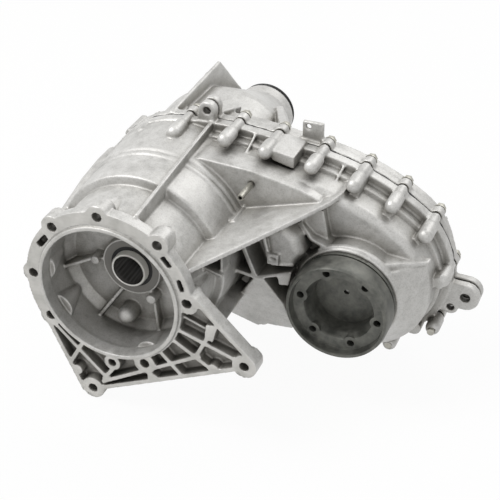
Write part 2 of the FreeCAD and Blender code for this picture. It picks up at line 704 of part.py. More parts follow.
def make_case_bolts():
    """Flange-headed screws, put in from the rear."""
    seat = s.split_y + s.gasket_thickness + s.rim_depth
    bolts = []
    for bx, bz in CASE_BOLTS:
        shank = rod(s.bolt_radius, seat - s.bolt_boss_y - 10, bx, s.bolt_boss_y + 10, bz)
        washer = rod(7, 2, bx, seat, bz)
        head = push(hexagon(10, bx, bz, float(seat) + 1), Vector(0, 1, 0), 7)
        bolts.append(join([shank, washer, head]))
    return group(bolts, "case_bolts")


def make_dowels():
    return group([rod(4, 18, dx, s.split_y - 10, dz) for dx, dz in DOWEL_CENTRES], "case_dowels")


def make_plugs():
    fill = join([rod(9, 14, 120, 240, 20), push(hexagon(22, 120, 20, 254), Vector(0, 1, 0), 8)], "fill_plug")
    drain = join([rod(7, 16, 23, 228, -124, UPRIGHT), rod(11, 5, 23, 228, -129, UPRIGHT)], "drain_plug")
    return [fill, drain]


def make_breather():
    """The bright vent tube pressed into the front panel."""
    outside = join([rod(3.5, 29, 100, 110, 75), rod(3, 13, 100, 139, 75)])
    return cut(outside, [rod(2.2, 44, 100, 109, 75)], "breather_tube")


def bearing(prefix, x, z, y, width, bore, outer):
    """A ball bearing: its outer ring, and its inner ring with the balls."""
    pitch = (bore + outer) / 2
    ball_radius = (outer - bore) * 0.3
    ring = tube(outer, pitch + ball_radius + 0.06, width, x, y, z, prefix + "_outer_ring")
    inner = tube(pitch - ball_radius - 0.02, bore, width, x, y, z)
    count = int(2 * math.pi * float(pitch) / (2.3 * float(ball_radius)))
    balls = []
    for index in range(count):
        angle = 2 * math.pi * index / count
        balls.append(ball(ball_radius, float(x) + float(pitch) * math.cos(angle), y + width / 2,
                          float(z) + float(pitch) * math.sin(angle)))
    return [ring, group([inner] + balls, prefix + "_inner_ring")]


def snap_ring(label, x, z, y, inner, outer, opening):
    """A split ring 1.6 mm thick with a gap at one side."""
    ring = tube(outer, inner, 1.6, x, y, z)
    notch = block(outer * 2, 4, 8, x, y - 1, z - 4, Rotation(Vector(0, 1, 0), opening))
    return cut(ring, [notch], label)


def seal(label, x, z, y, depth, inner, outer, flange, from_rear=False):
    """A pressed steel can with a rubber lip; a wider flange stays outside the bore."""
    width = (outer - inner) * 0.3
    front = [(outer, 0)] if flange <= outer else [(flange, 0), (flange, 1.5), (outer, 1.5)]
    profile = [(inner, 0), (inner + width, 0.6), (outer - width, 0.6)] + front
    profile += [(outer, depth), (outer - 0.7 * width, depth), (outer - width, 2.6), (inner + 1.4 * width, 2.6),
                (inner + 1.2 * width, depth - 1), (inner + 0.3 * width, depth - 1)]
    if from_rear:
        profile = [(radius, depth - back) for radius, back in profile]
    return turned(profile, label, x, y, z)


def make_input_shaft():
    """The hollow input shaft with the sun gear on its rear end."""
    blank = turned([(0, 0), (s.input_radius - 1, 0), (s.input_radius, 1), (s.input_radius, 39), (26, 39),
                    (26, 49), (0, 49)], "input_blank", y=s.input_nose_y)
    pitch = float(s.tooth_module) * SUN_TEETH / 2
    sun = gear(SUN_TEETH, pitch - 2.85, pitch + 1.9, 0.7, 0.19, s.gear_y - 2, s.gear_width + 2)
    spline = gear(24, s.socket_radius - 1.5, s.socket_radius, 0.55, 0.4, s.input_nose_y - 1, 36)
    mouth = rod(s.socket_radius + 0.2, 5, 0, s.input_nose_y - 1, 0)
    pilot = rod(12, 30, 0, s.gear_y - 5, 0)
    dog_opening = gear(DOG_TEETH, 28, 31.5, 0.55, 0.55, s.gear_y + 11, 20)
    relief = rod(31.5, 4, 0, s.gear_y + 11, 0)
    return cut(join([blank, sun]), [spline, mouth, pilot, dog_opening, relief], "input_shaft")


def make_ring_gear():
    pitch = float(s.tooth_module) * RING_TEETH / 2
    opening = gear(RING_TEETH, pitch + 2.85, pitch - 1.9, 0.6, 0.2, s.gear_y - 1, s.gear_width + 2)
    return cut(rod(s.gear_bay_radius, s.gear_width, 0, s.gear_y, 0), [opening], "ring_gear")


def planet_centres():
    radius = float(s.tooth_module) * (SUN_TEETH + PLANET_TEETH) / 2
    turns = [2 * math.pi * index / PLANET_COUNT for index in range(PLANET_COUNT)]
    return [(radius * math.cos(turn), radius * math.sin(turn), turn) for turn in turns]


def make_planets():
    pitch = float(s.tooth_module) * PLANET_TEETH / 2
    planets = []
    for number, (x, z, turn) in enumerate(planet_centres(), start=1):
        phase = turn + math.pi / PLANET_TEETH
        wheel = gear(PLANET_TEETH, pitch - 2.85, pitch + 1.9, 0.75, 0.19, s.gear_y + 0.5, s.gear_width - 1,
                     x, z, phase)
        bore = rod(s.planet_pin_radius + 0.05, 40, x, s.gear_y - 5, z)
        planets.append(cut(wheel, [bore], f"planet_gear_{number}"))
    return planets


def make_carrier():
    """The planet carrier with its low-range dog ring, and the pins of the planets."""
    back_y = s.gear_y + s.gear_width + 1
    front = tube(69, 46, 4, 0, s.gear_y - 5, 0)
    back = tube(69, 40, 5, 0, back_y, 0)
    drum = tube(42, 38.5, 27, 0, back_y + 2, 0)
    dog = cut(rod(41, 7, 0, back_y + 22, 0), [gear(DOG_TEETH, 34, 37, 0.55, 0.55, back_y + 21, 9)])
    posts = []
    for x, z, turn in planet_centres():
        angle = turn + math.pi / PLANET_COUNT
        posts.append(rod(7, s.gear_width + 6, 57.5 * math.cos(angle), s.gear_y - 3, 57.5 * math.sin(angle)))
    holes = [rod(s.planet_pin_radius, 50, x, s.gear_y - 10, z) for x, z, _ in planet_centres()]
    carrier = cut(join([front, back, drum, dog] + posts), holes, "planet_carrier")
    pins = group([rod(s.planet_pin_radius, s.gear_width + 11, x, s.gear_y - 5, z) for x, z, _ in planet_centres()],
                 "planet_pins")
    return [carrier, pins]


def make_range_sleeve():
    """The sliding sleeve: its front dog meets the sun gear, its rear dog the carrier."""
    front, groove = s.sleeve_y, s.sleeve_groove_y
    groove_end = groove + s.sleeve_groove_width
    core = turned([(0, 0), (27.2, 0), (27.2, 6), (22, 8), (22, 14), (30.5, 14), (30.5, 19), (22, 21),
                   (22, groove - 3 - front), (30, groove - 3 - front), (30, groove - front), (24, groove - front),
                   (24, groove_end - front), (30, groove_end - front), (30, groove_end + 3 - front),
                   (0, groove_end + 3 - front)], "sleeve_core", y=front)
    front_dog = gear(DOG_TEETH, 26, 31, 0.4, 0.38, front, 4)
    rear_dog = gear(DOG_TEETH, 30, 33.4, 0.4, 0.38, front + 14, 5)
    bore = gear(16, s.output_radius - 1.3, s.output_radius + 0.4, 0.66, 0.6, front - 1, 60)
    lining = rod(s.output_radius - 1.25, 60, 0, front - 1, 0)
    return cut(join([core, front_dog, rear_dog]), [bore, lining], "range_sleeve")


def make_output_shaft():
    seat = s.rear_seat_radius
    blank = turned([(0, 0), (8.95, 0), (8.95, 15), (14.4, 16), (14.4, 85), (19, 85), (19, 125), (18, 126),
                    (18, 196), (seat, 197), (seat, 252), (14.8, 254), (14.8, 335), (13, 337), (0, 337)],
                   "output_blank", y=89.5)
    front_spline = gear(16, 14.3, s.output_radius, 0.56, 0.5, 106, 66)
    rear_spline = gear(24, 14.7, s.output_radius, 0.62, 0.4, 350, 72)
    return join([blank, front_spline, rear_spline], "output_shaft")


def make_sprocket(label, x, z, hub, hub_length, bore, phase):
    wheel = gear(SPROCKET_TEETH, 51.5, s.sprocket_tip_radius, 0.62, 0.3, s.chain_y + 1, s.chain_width - 2, x, z,
                 phase)
    recess = [tube(47, hub + 4, 8, x, s.chain_y, z), tube(47, hub + 4, 8, x, s.chain_y + s.chain_width - 8, z)]
    boss = rod(hub, hub_length, x, s.chain_y, z)
    return cut(join([cut(wheel, recess), boss]), [rod(bore, 60, x, s.chain_y - 10, z)], label)


def chain_route():
    """Yields (x, z, angle) for each chain link round both sprockets."""
    x, z = float(s.front_axis_x), float(s.front_axis_z)
    radius = float(s.chain_inner_radius) + float(s.chain_thickness) / 2
    distance = math.hypot(x, z)
    lean = math.atan2(z, x)
    length = 2 * distance + 2 * math.pi * radius
    for index in range(CHAIN_LINKS):
        travel = length * index / CHAIN_LINKS
        if travel < distance:
            centre, angle, share = (0, 0), lean + math.pi / 2, travel
        elif travel < distance + math.pi * radius:
            centre, angle, share = (x, z), lean + math.pi / 2 - (travel - distance) / radius, 0
        elif travel < 2 * distance + math.pi * radius:
            centre, angle = (x, z), lean - math.pi / 2
            share = -(travel - distance - math.pi * radius)
        else:
            centre, angle, share = (0, 0), lean - math.pi / 2 - (travel - 2 * distance - math.pi * radius) / radius, 0
        yield (centre[0] + share * math.cos(lean) + radius * math.cos(angle),
               centre[1] + share * math.sin(lean) + radius * math.sin(angle), angle)


def make_chain():
    """Plate packs of a wide toothed chain, one solid for each link."""
    radius = float(s.chain_inner_radius) + float(s.chain_thickness) / 2
    length = 2 * math.hypot(float(s.front_axis_x), float(s.front_axis_z)) + 2 * math.pi * radius
    pitch = length / CHAIN_LINKS
    half, tall = pitch * 0.45, float(s.chain_thickness) / 2
    links = []
    for x, z, angle in chain_route():
        out = Vector(math.cos(angle), 0, math.sin(angle))
        side = Vector(-out.z, 0, out.x)
        corners = [(-0.62, -1), (-1, -0.2), (-1, 1), (1, 1), (1, -0.2), (0.62, -1)]
        points = [Vector(x, 0, z) + side * (a * half) + out * (b * tall) for a, b in corners]
        links.append(prism([(point.x, point.z) for point in points], s.chain_y, s.chain_width))
    return group(links, "drive_chain")


def make_front_output():
    """Shaft, flange, nut, dust shield and cup cover of the front output."""
    x, z = s.front_axis_x, s.front_axis_z
    face = s.flange_y
    shaft = turned([(0, 0), (10, 0), (10, 6), (15, 6.5), (15, 16), (s.front_seat_radius, 16.5),
                    (s.front_seat_radius, 46), (24, 47), (24, 80), (17, 81), (17, 92), (s.stub_seat_radius, 93),
                    (s.stub_seat_radius, 112), (0, 112)], "front_output_shaft", x, 130, z)
    neck = 38.4
    blank = turned([(38.5, 10), (50, 10), (51.5, 0), (s.flange_radius - 1.5, 0), (s.flange_radius, 5),
                    (s.flange_radius, 25), (s.flange_radius - 1, 26), (neck, 26), (neck, 42.5), (s.hub_radius, 42.5),
                    (s.hub_radius, 56), (15, 56), (15, 47), (20, 47), (20, 38.5), (34, 38.5), (34, 21)],
                   "flange_blank", x, face, z)
    holes, lobes, clearances = [], [], []
    for index in range(6):
        angle = math.radians(110.3 + 60 * index)
        hole_x = float(x) + float(s.flange_bolt_circle) * math.cos(angle)
        hole_z = float(z) + float(s.flange_bolt_circle) * math.sin(angle)
        holes.append(rod(s.flange_hole_radius, 30, hole_x, face, hole_z))
        clearances.append(rod(5.5, 14, hole_x, face + 26.5, hole_z))
        lobes.append(rod(8, 16, hole_x, face + 10, hole_z))
    flange = cut(join([blank] + lobes), holes, "front_output_flange")
    nut = cut(push(hexagon(32, float(x), float(z), 129), Vector(0, 1, 0), 7),
              [rod(10, 12, x, 127, z)], "flange_nut")
    cover = cut(rod(33.9, 1.4, x, face + 37, z), [rod(3, 6, x, face + 35, z + 4)], "flange_cup_cover")
    ring = turned([(neck, 28), (55.5, 28), (55.5, 32), (neck + 2, 32), (neck + 2, 38), (neck, 38)], "shield_ring",
                  x, face, z)
    shield = cut(ring, clearances, "flange_dust_shield")
    return [shaft, flange, nut, cover, shield]


def make_clutch():
    """Drum, hub, plates and the magnetic actuator behind them."""
    start = s.clutch_y
    drum = turned([(24.5, 0), (s.clutch_radius, 0), (s.clutch_radius, 44), (s.clutch_radius - 4, 44),
                   (s.clutch_radius - 4, 4), (24.5, 4)], "clutch_drum", y=start)
    hub = turned([(18, 0), (36, 0), (36, 32), (32, 32), (32, 4), (23, 4), (23, 20), (18, 20)], "clutch_hub",
                 y=start + 6)
    friction, steel = [], []
    for index in range(5):
        y = start + 7 + 2 * index * s.clutch_plate_pitch
        friction.append(tube(s.clutch_radius - 6, 36, s.clutch_plate_thickness, 0, y, 0))
        steel.append(tube(s.clutch_radius - 4, 38, s.clutch_plate_thickness, 0, y + s.clutch_plate_pitch, 0))
    pressure = tube(s.clutch_radius - 5, 38, 4, 0, start + 35, 0, "clutch_pressure_plate")
    ramp = turned([(18, 0), (44, 0), (44, 4), (52, 4), (52, 7), (18, 7)], "clutch_ramp_plate", y=start + 41)
    armature = tube(54, 24, 5, 0, start + 49, 0, "clutch_armature")
    coil = turned([(22, 0), (56, 0), (56, 13), (62, 13), (62, 16), (22, 16)], "clutch_coil", y=start + 56)
    return [drum, hub, group(friction, "clutch_friction_plates"), group(steel, "clutch_steel_plates"), pressure,
            ramp, armature, coil]


def pump_rotor_outline(y, clearance):
    """The lobed inner rotor that rolls inside the pump's outer rotor."""
    lobe_circle, lobe_radius, offset = 27.0, 6.0 + clearance, float(s.pump_offset)
    steps = 144
    points = []
    for index in range(steps):
        t = 2 * math.pi * index / steps
        lean = math.atan2(math.sin((1 - PUMP_LOBES) * t),
                          lobe_circle / (offset * PUMP_LOBES) - math.cos((1 - PUMP_LOBES) * t))
        points.append((lobe_circle * math.cos(t) - lobe_radius * math.cos(t + lean) - offset * math.cos(PUMP_LOBES * t),
                       -lobe_circle * math.sin(t) + lobe_radius * math.sin(t + lean)
                       + offset * math.sin(PUMP_LOBES * t)))
    return polygon(points, y)


def make_pump():
    start, offset = s.pump_y, -float(s.pump_offset)
    case = cut(rod(s.pump_radius, 16, 0, start, 0),
               [rod(36.2, 8.4, offset, start + 3, 0), rod(19, 20, 0, start - 1, 0)], "oil_pump_housing")
    inner = cut(push(pump_rotor_outline(float(start) + 3.4, 0.35), Vector(0, 1, 0), 7.6),
                [rod(s.rear_seat_radius, 20, 0, start, 0)], "oil_pump_inner_rotor")
    ring = tube(36, 31, 7.6, offset, start + 3.4, 0)
    lobes = []
    for index in range(PUMP_LOBES):
        angle = 2 * math.pi * index / PUMP_LOBES
        lobes.append(rod(6, 7.6, offset + 27 * math.cos(angle), start + 3.4, 27 * math.sin(angle)))
    outer = join([ring] + lobes, "oil_pump_outer_rotor")
    return [case, inner, outer]


def make_pickup():
    """The oil pickup below the pump: a pipe that ends in a box-shaped strainer."""
    drop = rod(4.5, 27.8, 0, 296, -72, UPRIGHT)
    run = rod(4.5, 52, 0, 244, -72)
    strainer = block(26, 22, 8, -13, 232, -79)
    return join([drop, run, ball(4.5, 0, 296, -72), strainer], "oil_pickup")


def make_shift_parts():
    """The shift shaft with its cam barrel, the fork that the cam slides, and the shaft's seal."""
    x, z = s.rail_x, s.rail_z
    away = math.atan2(float(z), float(x)) + math.pi
    inward = Vector(math.cos(away), 0, math.sin(away))
    turn = Rotation(Vector(0, 0, 1), inward)
    track = []
    steps = 24
    for step in range(steps + 1):
        angle = away - math.radians(120) * step / steps
        out = Vector(math.cos(angle), 0, math.sin(angle))
        track.append(rod(2.6, 6, x + 7 * out.x, s.cam_pin_y + float(s.range_travel) * step / steps, z + 7 * out.z,
                         Rotation(Vector(0, 0, 1), out)))
    shaft = cut(join([rod(s.rail_radius, 180, x, 100, z), rod(s.cam_radius, 24, x, s.cam_pin_y - 5, z),
                      gear(10, s.rail_radius, s.rail_radius + 1, 0.6, 0.4, 268, 10, x, z)]),
                track, "shift_shaft")
    groove = s.sleeve_groove_y
    pad = tube(36, 24.4, s.sleeve_groove_width - 0.8, 0, groove + 0.4, 0)
    half_pad = shared(pad, block(44, 20, 100, -44, groove - 5, -50))
    arm = bar((-30, 11.6), (float(x), float(z)), 14, groove + 0.4, s.sleeve_groove_width - 0.8)
    stiffener = bar((-40, 15.5), (float(x), float(z)), 4, groove - 6, 17)
    boss = rod(10.5, 24, x, groove - 9, z)
    side = Vector(-inward.z, 0, inward.x)
    corner = inward * 9.9 - side * 3
    finger = block(6.4, 37, 6, x + corner.x, groove + 1, z + corner.z,
                   Rotation(Vector(0, 1, 0), -math.degrees(away)))
    pin = rod(2.2, 6, x + 7.8 * inward.x, s.cam_pin_y, z + 7.8 * inward.z, turn)
    cleared = cut(join([half_pad, arm, stiffener, boss]), [rod(s.rail_radius + 0.05, 40, x, groove - 20, z),
                                                          rod(24.4, 20, 0, groove - 5, 0)])
    fork = join([cleared, finger, pin], "range_fork")
    shaft_seal = seal("shift_shaft_seal", x, z, 254, 7, s.rail_radius + 0.05, 11, 11)
    return [shaft, fork, shaft_seal]


def make_all():
    x, z = s.front_axis_x, s.front_axis_z
    nodes = [make_front_case(), make_rear_case(), make_gasket(), make_case_bolts(), make_dowels()]
    nodes += make_plugs() + [make_breather(), make_input_shaft(), make_ring_gear()]
    nodes += bearing("input_bearing", 0, 0, s.input_bearing_y, s.input_bearing_width, s.input_radius,
                     s.input_bearing_radius)
    nodes.append(snap_ring("input_snap_ring", 0, 0, s.input_bearing_y + s.input_bearing_width + 0.2, 36.5, 40, 0))
    nodes.append(seal("input_seal", 0, 0, 53, 9, s.input_radius + 0.05, 31.5, 31.5))
    nodes.append(tube(12, 9, 13, 0, 89.5, 0, "pilot_bearing"))
    nodes += make_planets() + make_carrier() + [make_range_sleeve(), make_output_shaft()]
    nodes.append(make_sprocket("drive_sprocket", 0, 0, 30, s.clutch_y - s.chain_y, 22.5, 0))
    nodes.append(tube(22.5, 19.05, 28, 0, s.chain_y + 1, 0, "sprocket_needle_bearing"))
    nodes.append(make_sprocket("driven_sprocket", x, z, 34, s.chain_width + 2, 24, math.radians(5)))
    nodes.append(make_chain())
    nodes += make_front_output()
    nodes += bearing("front_output_bearing", x, z, s.front_bearing_y, s.front_bearing_width, s.front_seat_radius,
                     s.front_bearing_radius)
    nodes.append(snap_ring("front_output_snap_ring", x, z, s.front_bearing_y + s.front_bearing_width + 0.2, 39,
                           42.5, 90))
    nodes += bearing("stub_bearing", x, z, s.stub_bearing_y, s.stub_bearing_width, s.stub_seat_radius,
                     s.stub_bearing_radius)
    nodes.append(seal("front_output_seal", x, z, 134, 10, s.hub_radius + 0.05, 36, 36))
    nodes += make_clutch() + make_pump() + [make_pickup()] + make_shift_parts()
    nodes += bearing("rear_bearing", 0, 0, s.rear_bearing_y, s.rear_bearing_width, s.rear_seat_radius,
                     s.rear_bearing_radius)
    nodes.append(snap_ring("rear_snap_ring", 0, 0, s.rear_bearing_y - 2, 33, 36, 180))
    nodes.append(tube(22, 19, 24, 0, 400, 0, "tail_bushing"))
    nodes.append(seal("rear_output_seal", 0, 0, s.tail_end - 6, 12, 19, 31, 36.5, True))
    magnet = block(24, 16, 4, 92, 214, -92)
    magnet.Label = "chip_magnet"
    nodes.append(magnet)
    return nodes


nodes = make_all()
doc.recompute()
for item in doc.Objects:
    if "Invalid" in item.State or "Error" in item.State:
        raise RuntimeError(f"{item.Name} failed: {item.State}")
for node in nodes:
    if node.Shape.isNull() or not node.Shape.isValid():
        raise RuntimeError(f"{node.Label} has no valid shape")
os.makedirs("parts", exist_ok=True)
for node in nodes:
    node.Shape.exportStep(f"parts/{node.Label}.step")
    box = node.Shape.BoundBox
    print(node.Label, len(node.Shape.Solids), round(node.Shape.Volume), [round(v, 1) for v in
          (box.XMin, box.YMin, box.ZMin, box.XMax, box.YMax, box.ZMax)])
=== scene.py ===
"""Looks of a chain-driven transfer case: two aluminium castings, a steel flange and shafts."""
import json
import math

import bmesh
import bpy
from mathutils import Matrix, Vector, noise


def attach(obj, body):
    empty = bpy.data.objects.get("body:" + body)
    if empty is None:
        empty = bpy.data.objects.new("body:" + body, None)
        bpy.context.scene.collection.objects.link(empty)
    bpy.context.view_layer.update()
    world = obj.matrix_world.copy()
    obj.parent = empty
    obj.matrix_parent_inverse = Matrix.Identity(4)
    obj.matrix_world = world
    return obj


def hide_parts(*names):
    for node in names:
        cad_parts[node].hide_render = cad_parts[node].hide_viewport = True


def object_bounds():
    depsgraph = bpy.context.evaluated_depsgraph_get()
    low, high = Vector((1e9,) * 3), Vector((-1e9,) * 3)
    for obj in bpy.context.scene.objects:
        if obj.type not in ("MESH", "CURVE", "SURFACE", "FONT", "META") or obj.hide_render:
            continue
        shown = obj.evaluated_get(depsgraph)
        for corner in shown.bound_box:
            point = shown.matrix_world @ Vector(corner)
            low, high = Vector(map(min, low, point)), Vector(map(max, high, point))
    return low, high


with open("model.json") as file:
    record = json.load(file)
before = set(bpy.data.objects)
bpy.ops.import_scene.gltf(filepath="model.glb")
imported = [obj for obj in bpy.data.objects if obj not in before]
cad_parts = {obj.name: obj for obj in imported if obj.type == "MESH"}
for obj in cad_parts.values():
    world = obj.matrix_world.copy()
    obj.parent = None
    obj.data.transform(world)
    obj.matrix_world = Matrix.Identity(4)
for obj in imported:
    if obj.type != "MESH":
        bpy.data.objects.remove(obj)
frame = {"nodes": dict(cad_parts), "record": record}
cad_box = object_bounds()
slots = {entry["node"]: entry["material_slot"] for entry in frame["record"]["subparts"]}
MM = 0.001
WHITE = (1.0, 1.0, 1.0, 1.0)
# Colour sockets of a Mix node: its two inputs and its output
FIRST, SECOND, MIXED = 6, 7, 2


def colour(code):
    """Turns an sRGB hex colour into linear light."""
    linear = []
    for start in (1, 3, 5):
        part = int(code[start:start + 2], 16) / 255
        linear.append(part / 12.92 if part <= 0.04045 else ((part + 0.055) / 1.055) ** 2.4)
    return (*linear, 1.0)


def add(tree, kind, sockets=None, stops=(), **settings):
    """Adds a node with its settings, its inputs set or linked, and a ramp's (position, hex) stops."""
    node = tree.nodes.new(kind)
    for name, value in settings.items():
        setattr(node, name, value)
    for name, value in (sockets or {}).items():
        if isinstance(value, bpy.types.NodeSocket):
            tree.links.new(value, node.inputs[name])
        else:
            node.inputs[name].default_value = value
    if stops:
        elements = node.color_ramp.elements
        while len(elements) < len(stops):
            elements.new(0.5)
        for element, (position, code) in zip(elements, stops):
            element.position = position
            element.color = colour(code)
    return node


def blank(name):
    """Starts a material and returns it with its tree, its shader and its object coordinates."""
    material = bpy.data.materials.new(name)
    material.use_nodes = True
    tree = material.node_tree
    tree.nodes.clear()
    shader = add(tree, "ShaderNodeBsdfPrincipled")
    output = add(tree, "ShaderNodeOutputMaterial")
    tree.links.new(shader.outputs["BSDF"], output.inputs["Surface"])
    place = add(tree, "ShaderNodeTexCoord").outputs["Object"]
    return material, tree, shader, place


def cast_aluminium():
    """Sand-cast, shot-blasted aluminium: a pale grey skin with stains, painted shade in pockets and creases,
    and a fine grain.
    """
    material, tree, shader, place = blank("sand_cast_aluminium")
    cloud_mm, stain_mm, pocket_shade_mm = 38, 9, 26
    # Specks of the blasted sand skin, drawn larger than they are so that they show in the picture
    speck_mm, speck_share = 1.6, 0.3
    # Blasted grain, over slow waves from the mould
    grain_mm, grain_depth_mm = 0.9, 0.12
    wave_mm, wave_depth_mm = 12, 0.9
    bump_strength = 0.35

    clouds = add(tree, "ShaderNodeTexNoise",
                 {"Vector": place, "Scale": 1 / (cloud_mm * MM), "Detail": 4.0, "Roughness": 0.6})
    stains = add(tree, "ShaderNodeTexNoise",
                 {"Vector": place, "Scale": 1 / (stain_mm * MM), "Detail": 6.0, "Roughness": 0.65})
    both = add(tree, "ShaderNodeMath", {0: clouds.outputs["Fac"], 1: stains.outputs["Fac"]}, operation="ADD")
    average = add(tree, "ShaderNodeMath", {0: both.outputs[0], 1: 0.5}, operation="MULTIPLY")
    skin = add(tree, "ShaderNodeValToRGB", {"Fac": average.outputs[0]},
               stops=[(0.3, "#AFAEAB"), (0.5, "#CCCBC8"), (0.7, "#DDDCDA")])

    # Inner edges and creases get painted shade and worn outer ones are lighter, pockets get painted shade,
    # and specks dot the whole skin
    bend = add(tree, "ShaderNodeNewGeometry").outputs["Pointiness"]
    crease_shade_and_edge_wear = add(tree, "ShaderNodeValToRGB", {"Fac": bend},
               stops=[(0.42, "#9A9894"), (0.5, "#F4F4F4"), (0.6, "#FFFFFF")])
    # Painted shade: the colour darkens in pockets and recesses, as far as the ambient occlusion reaches
    pockets = add(tree, "ShaderNodeAmbientOcclusion", {"Distance": pocket_shade_mm * MM}, samples=8)
    painted_pocket_shade = add(tree, "ShaderNodeValToRGB", {"Fac": pockets.outputs["AO"]},
                stops=[(0.15, "#7E7C78"), (0.5, "#D0CECA"), (0.85, "#FFFFFF")])
    sand = add(tree, "ShaderNodeTexNoise", {"Vector": place, "Scale": 1 / (speck_mm * MM), "Detail": 3.0})
    specks = add(tree, "ShaderNodeValToRGB", {"Fac": sand.outputs["Fac"]},
                 stops=[(0.36, "#C6C4C0"), (0.52, "#FFFFFF")])
    tone = skin.outputs["Color"]
    for layer, share in ((crease_shade_and_edge_wear, 1.0), (painted_pocket_shade, 1.0), (specks, speck_share)):
        tone = add(tree, "ShaderNodeMix", {"Factor": share, FIRST: tone, SECOND: layer.outputs["Color"]},
                   data_type="RGBA", blend_type="MULTIPLY").outputs[MIXED]
    tree.links.new(tone, shader.inputs["Base Color"])

    rough = add(tree, "ShaderNodeMapRange", {"Value": stains.outputs["Fac"], "From Min": 0.3, "From Max": 0.7,
                                             "To Min": 0.42, "To Max": 0.6})
    tree.links.new(rough.outputs[0], shader.inputs["Roughness"])
    shader.inputs["Metallic"].default_value = 0.6
    grain = add(tree, "ShaderNodeTexNoise", {"Vector": place, "Scale": 1 / (grain_mm * MM), "Detail": 3.0})
    waves = add(tree, "ShaderNodeTexNoise", {"Vector": place, "Scale": 1 / (wave_mm * MM), "Detail": 2.0})
    low = add(tree, "ShaderNodeBump", {"Height": waves.outputs["Fac"], "Strength": bump_strength,
                                       "Distance": wave_depth_mm * MM})
    high = add(tree, "ShaderNodeBump", {"Height": grain.outputs["Fac"], "Strength": bump_strength,
                                        "Distance": grain_depth_mm * MM, "Normal": low.outputs["Normal"]})
    tree.links.new(high.outputs["Normal"], shader.inputs["Normal"])
    return material


def milled_aluminium():
    """Face-milled aluminium: smoother and a little darker than the cast skin, with faint cutter arcs."""
    material, tree, shader, place = blank("milled_aluminium")
    arc_mm, arc_depth_mm, cloud_mm = 14, 0.05, 20
    arcs = add(tree, "ShaderNodeTexWave",
               {"Vector": place, "Scale": 1 / (arc_mm * MM), "Distortion": 3.0, "Detail": 2.0},
               wave_type="RINGS")
    clouds = add(tree, "ShaderNodeTexNoise", {"Vector": place, "Scale": 1 / (cloud_mm * MM), "Detail": 5.0})
    skin = add(tree, "ShaderNodeValToRGB", {"Fac": clouds.outputs["Fac"]},
               stops=[(0.3, "#B4B3AE"), (0.7, "#CFCDC9")])
    tree.links.new(skin.outputs["Color"], shader.inputs["Base Color"])
    rough = add(tree, "ShaderNodeMapRange", {"Value": arcs.outputs["Fac"], "To Min": 0.34, "To Max": 0.46})
    tree.links.new(rough.outputs[0], shader.inputs["Roughness"])
    shader.inputs["Metallic"].default_value = 0.8
    bump = add(tree, "ShaderNodeBump", {"Height": arcs.outputs["Fac"], "Strength": 0.15,
                                        "Distance": arc_depth_mm * MM})
    tree.links.new(bump.outputs["Normal"], shader.inputs["Normal"])
    return material


def grained(name, dark, light, metallic, roughness, cloud_mm, grain_mm, grain_depth_mm):
    """A metal, rubber or plastic with a cloudy tone, uneven gloss and a fine grain."""
    material, tree, shader, place = blank(name)
    glossiest, dullest = roughness * 0.85, roughness * 1.2
    clouds = add(tree, "ShaderNodeTexNoise",
                 {"Vector": place, "Scale": 1 / (cloud_mm * MM), "Detail": 5.0, "Roughness": 0.6})
    skin = add(tree, "ShaderNodeValToRGB", {"Fac": clouds.outputs["Fac"]},
               stops=[(0.32, dark), (0.68, light)])
    tree.links.new(skin.outputs["Color"], shader.inputs["Base Color"])
    rough = add(tree, "ShaderNodeMapRange", {"Value": clouds.outputs["Fac"], "From Min": 0.3, "From Max": 0.7,
                                             "To Min": glossiest, "To Max": dullest})
    tree.links.new(rough.outputs[0], shader.inputs["Roughness"])
    shader.inputs["Metallic"].default_value = metallic
    grain = add(tree, "ShaderNodeTexNoise", {"Vector": place, "Scale": 1 / (grain_mm * MM), "Detail": 3.0})
    bump = add(tree, "ShaderNodeBump", {"Height": grain.outputs["Fac"], "Strength": 0.3,
                                        "Distance": grain_depth_mm * MM})
    tree.links.new(bump.outputs["Normal"], shader.inputs["Normal"])
    return material


CAST = cast_aluminium()
MILLED = milled_aluminium()
# Figures: metallic, roughness, and in millimetres the clouds' size, the grain's size and its depth
FINISHES = {
    "cast_aluminium": CAST,
    # Turned and oiled steel: mid grey with a soft shine
    "machined_steel": grained("turned_steel", "#7B7B78", "#9C9B97", 1.0, 0.36, 12, 0.5, 0.03),
    # Hardened, oiled gear steel: darker and a little glossy
    "gear_steel": grained("hardened_gear_steel", "#4E4D4A", "#757470", 1.0, 0.32, 9, 0.5, 0.03),
    # Phosphated steel: dark grey, matt, with greyer rubbed clouds
    "dark_steel": grained("phosphated_steel", "#50514D", "#74746E", 0.6, 0.45, 11, 0.6, 0.05),
    # Aged zinc plating: dull grey with a slight warmth
    "plated_steel": grained("zinc_plated_steel", "#A19F97", "#BDBBB2", 0.9, 0.42, 6, 0.5, 0.02),
    # Ground bearing steel: bright and smooth
    "bearing_steel": grained("ground_bearing_steel", "#A7A7A5", "#C2C2C0", 1.0, 0.18, 10, 0.4, 0.01),
    # Moulded nitrile rubber: black, soft sheen
    "seal_rubber": grained("nitrile_rubber", "#121212", "#1E1E1D", 0.0, 0.5, 8, 0.7, 0.05),
    # Cured silicone sealant: black, slightly glossy
    "sealant": grained("silicone_sealant", "#131314", "#1C1C1D", 0.0, 0.4, 5, 0.9, 0.08),
    # Paper friction lining: brown, matt, fibrous
    "friction_lining": grained("paper_friction_lining", "#4A3628", "#63493A", 0.0, 0.85, 3, 0.5, 0.08),
    # Painted coil housing: grey enamel
    "copper_coil": grained("enamelled_coil_housing", "#3E4042", "#4B4D4F", 0.0, 0.4, 15, 0.8, 0.03),
    # Glass-filled nylon: black, dull
    "black_plastic": grained("glass_filled_nylon", "#191919", "#242424", 0.0, 0.55, 7, 0.5, 0.05),
    # Sintered bronze: brown-yellow and porous
    "bronze": grained("sintered_bronze", "#8C6B3A", "#A98850", 1.0, 0.4, 6, 0.4, 0.05),
}


